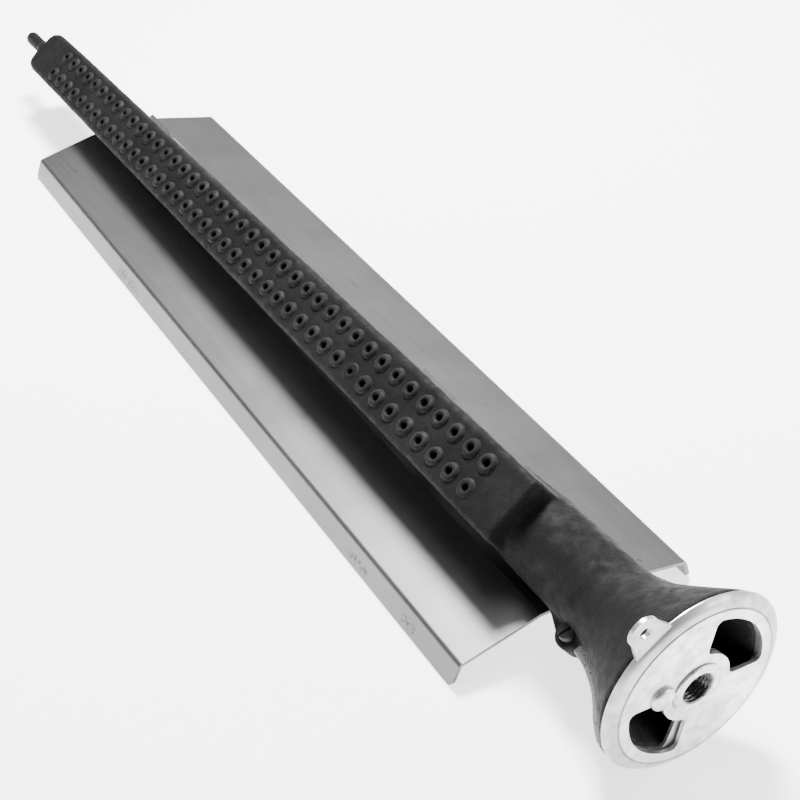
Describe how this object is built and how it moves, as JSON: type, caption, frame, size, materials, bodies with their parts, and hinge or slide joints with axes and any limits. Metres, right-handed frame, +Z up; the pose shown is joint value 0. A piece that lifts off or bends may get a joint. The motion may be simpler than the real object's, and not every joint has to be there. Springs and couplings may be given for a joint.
{
  "type": "gas bar burner",
  "caption": "Cast-iron gas bar burner with raised ports, venturi bell and tail pin, rotary air shutter on a threaded hub, and a folded steel deflector below.",
  "frame": {"origin": "centre of the orifice hub at the shutter's rim circle, on the burner's axis", "axes": "+Y along the level deflector towards the tail, +X across it, +Z up; the burner is pitched 1.8 degrees tail-low and rolled 37.7 degrees over the deflector"},
  "size_m": [0.1154, 0.6196, 0.0822],
  "materials": {
    "cast_iron_body": "rough sand-cast, dark",
    "plug_steel": "dull",
    "zinc_plate": "zinc plated",
    "zinc_shutter": "zinc plated, mottled",
    "zinc_screws": "zinc plated",
    "hub_steel": "turned and zinc plated",
    "spring_steel": "oiled",
    "dark_screw": "blackened",
    "deflector_sheet": "mill-finish aluminised steel, satin",
    "bracket_steel": "mill finish"
  },
  "bodies": {
    "burner": {"venturi_casting": "cast_iron_body", "bar_casting": "cast_iron_body", "core_plug": "plug_steel", "fixed_air_plate": "zinc_plate", "plate_screws": "zinc_screws", "orifice_hub": "hub_steel", "hub_wave_washer": "spring_steel", "hub_washer": "zinc_screws", "hub_retaining_ring": "spring_steel", "lug_screw": "dark_screw", "deflector": "deflector_sheet", "front_bracket": "bracket_steel", "rear_bracket": "bracket_steel", "bar_screws": "dark_screw", "bar_screw_washers": "zinc_screws", "foot_screws": "zinc_screws", "foot_washers": "zinc_screws", "foot_nuts": "zinc_screws"},
    "shutter": {"air_shutter": "zinc_shutter", "shutter_lock_screw": "zinc_screws", "shutter_lock_washer": "zinc_screws", "shutter_lock_nut": "zinc_screws"}
  },
  "joints": [
    {"name": "shutter_turn", "type": "hinge", "parent": "burner", "child": "shutter", "pos_m": [0, 0, 0], "axis": [0, -0.9995, 0.0314], "range_deg": [-7.5, 80]}
  ]
}
